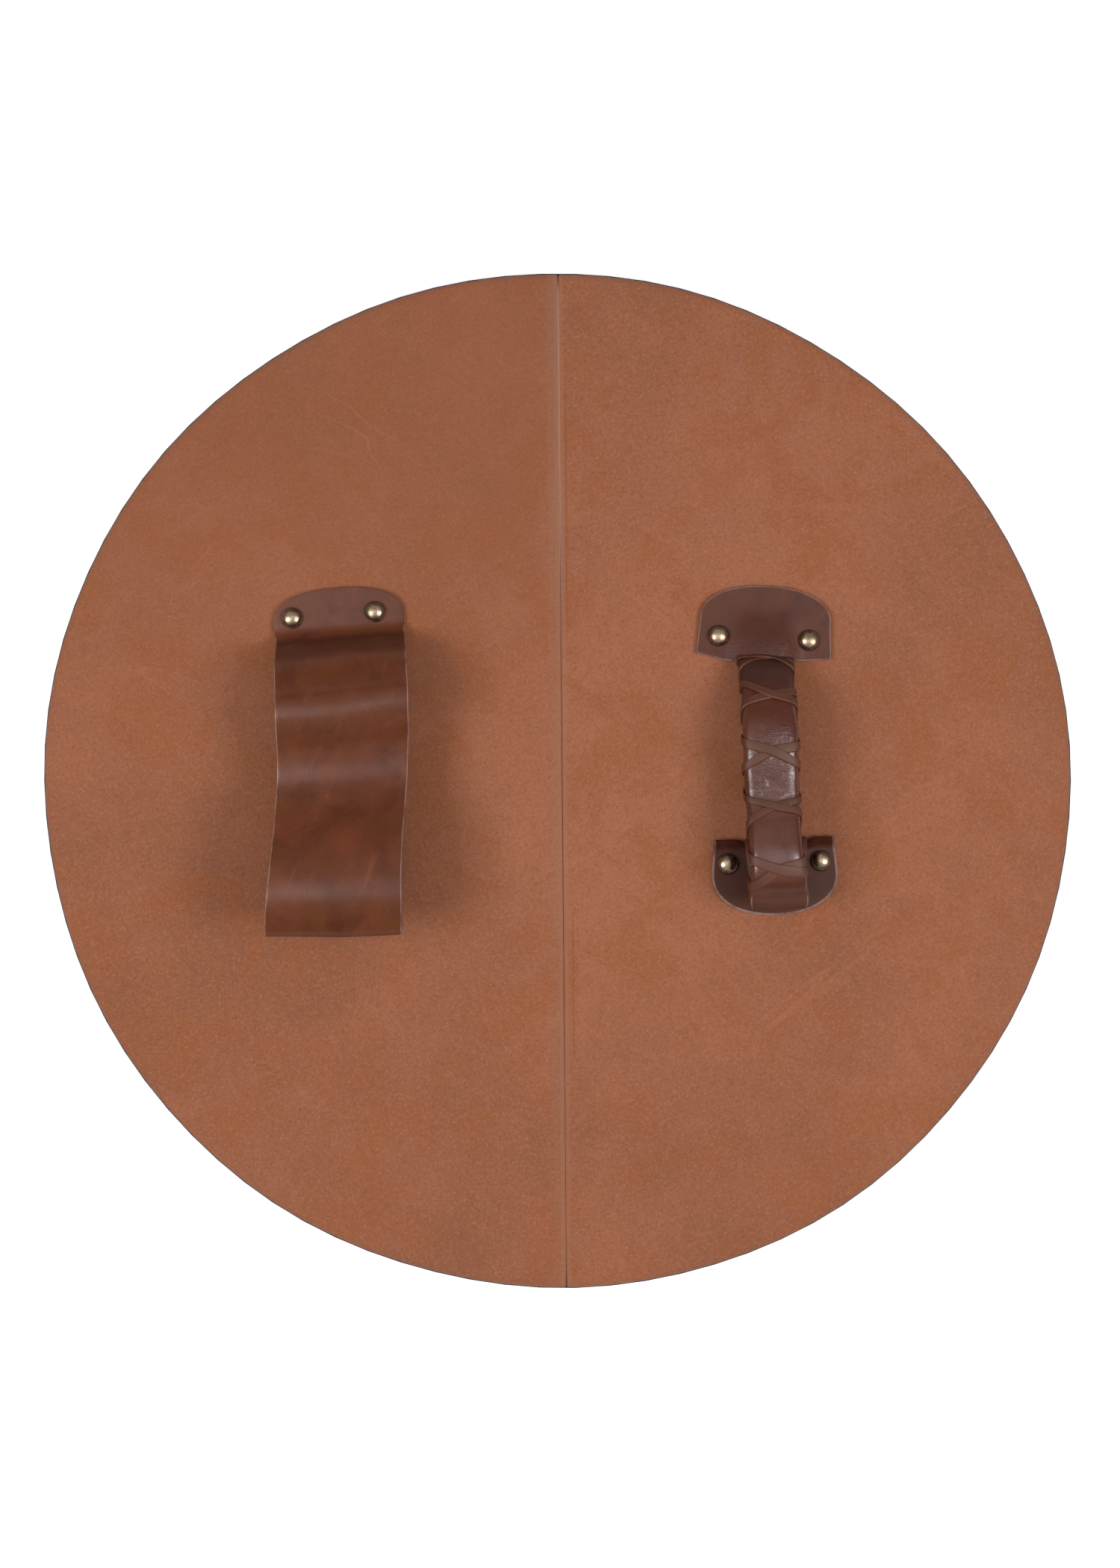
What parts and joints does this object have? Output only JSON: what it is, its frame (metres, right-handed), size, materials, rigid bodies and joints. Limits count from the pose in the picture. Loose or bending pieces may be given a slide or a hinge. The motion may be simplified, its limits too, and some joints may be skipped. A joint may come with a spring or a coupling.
{
  "type": "wooden round shield",
  "caption": "Flat round wooden shield with a suede-covered back, a wide riveted leather arm strap and a laced leather hand grip.",
  "frame": {"origin": "centre of the flat wooden front, on which the shield lies", "axes": "+Z out of the suede-covered back, +Y towards the top of the shield, +X from the arm strap to the hand grip"},
  "size_m": [0.6133, 0.6057, 0.0862],
  "materials": {
    "board_wood": "dark stained, satin",
    "suede": "napped suede, matt, tan brown",
    "strap_leather": "smooth dark brown grain with a soft sheen and pale cut edges",
    "thong_leather": "brown thong with pale cut edges",
    "rivet_brass": "antiqued, half dull"
  },
  "bodies": {
    "root": {"board": "board_wood", "back_cover_left": "suede", "back_cover_right": "suede", "arm_strap": "strap_leather", "grip": "strap_leather", "grip_lace": "thong_leather", "arm_strap_rivet_upper_left": "rivet_brass", "arm_strap_rivet_upper_right": "rivet_brass", "arm_strap_rivet_lower_left": "rivet_brass", "arm_strap_rivet_lower_right": "rivet_brass", "grip_rivet_upper_left": "rivet_brass", "grip_rivet_upper_right": "rivet_brass", "grip_rivet_lower_left": "rivet_brass", "grip_rivet_lower_right": "rivet_brass"}
  },
  "joints": []
}
